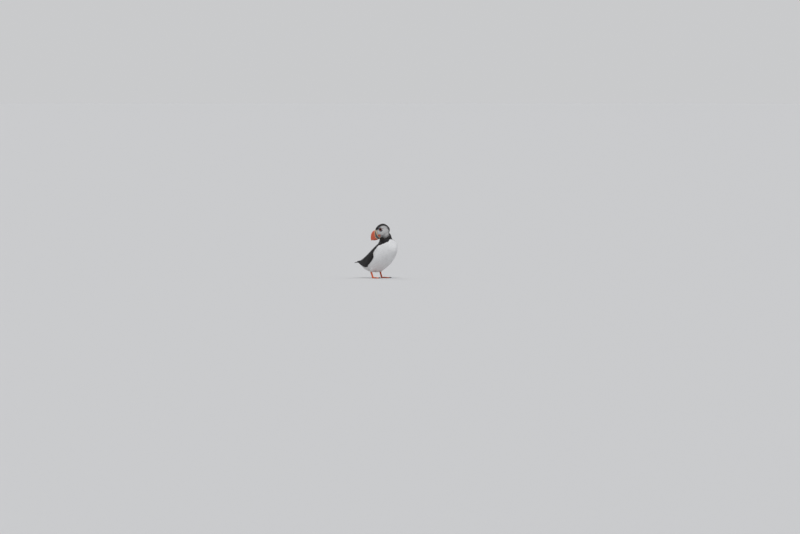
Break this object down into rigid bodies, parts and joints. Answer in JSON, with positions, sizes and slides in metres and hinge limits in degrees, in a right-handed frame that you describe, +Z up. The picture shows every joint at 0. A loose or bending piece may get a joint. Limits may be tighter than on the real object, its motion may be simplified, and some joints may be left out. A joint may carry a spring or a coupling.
{
  "type": "atlantic puffin",
  "caption": "Life-size still model of a standing seabird with a tall curved bill, folded wings, short tail and webbed feet, looking over its right shoulder.",
  "frame": {"origin": "on the floor, under the middle of the bird's box", "axes": "-Y the way the body faces, +X the bird's left side, +Z up"},
  "size_m": [0.1012, 0.1894, 0.2053],
  "materials": {
    "white_feathers": "dense white body feathers",
    "black_feathers": "black feathers with a faint brown tone",
    "grey_feathers": "short pale grey face feathers",
    "bill_horn": "orange-red horn with grooves, slate base and cream ridges",
    "plate_horn": "slate blue-grey horn",
    "mouth_skin": "folded salmon and orange skin",
    "eye": "dark wet eye in a red lid ring",
    "leg_skin": "scaled red-orange skin and webs",
    "claw_horn": "black claw horn"
  },
  "bodies": {
    "root": {"trunk": "white_feathers", "neck": "black_feathers", "head": "grey_feathers", "tail": "black_feathers", "wing_left": "black_feathers", "wing_right": "black_feathers", "thigh_left": "white_feathers", "thigh_right": "white_feathers", "leg_left": "leg_skin", "leg_right": "leg_skin", "foot_left": "leg_skin", "foot_right": "leg_skin", "bill_upper": "bill_horn", "bill_lower": "bill_horn", "eye_left": "eye", "eye_right": "eye", "brow_plate_left": "plate_horn", "brow_plate_right": "plate_horn", "lower_plate_left": "plate_horn", "lower_plate_right": "plate_horn", "mouth_corner_left": "mouth_skin", "mouth_corner_right": "mouth_skin"}
  },
  "joints": []
}
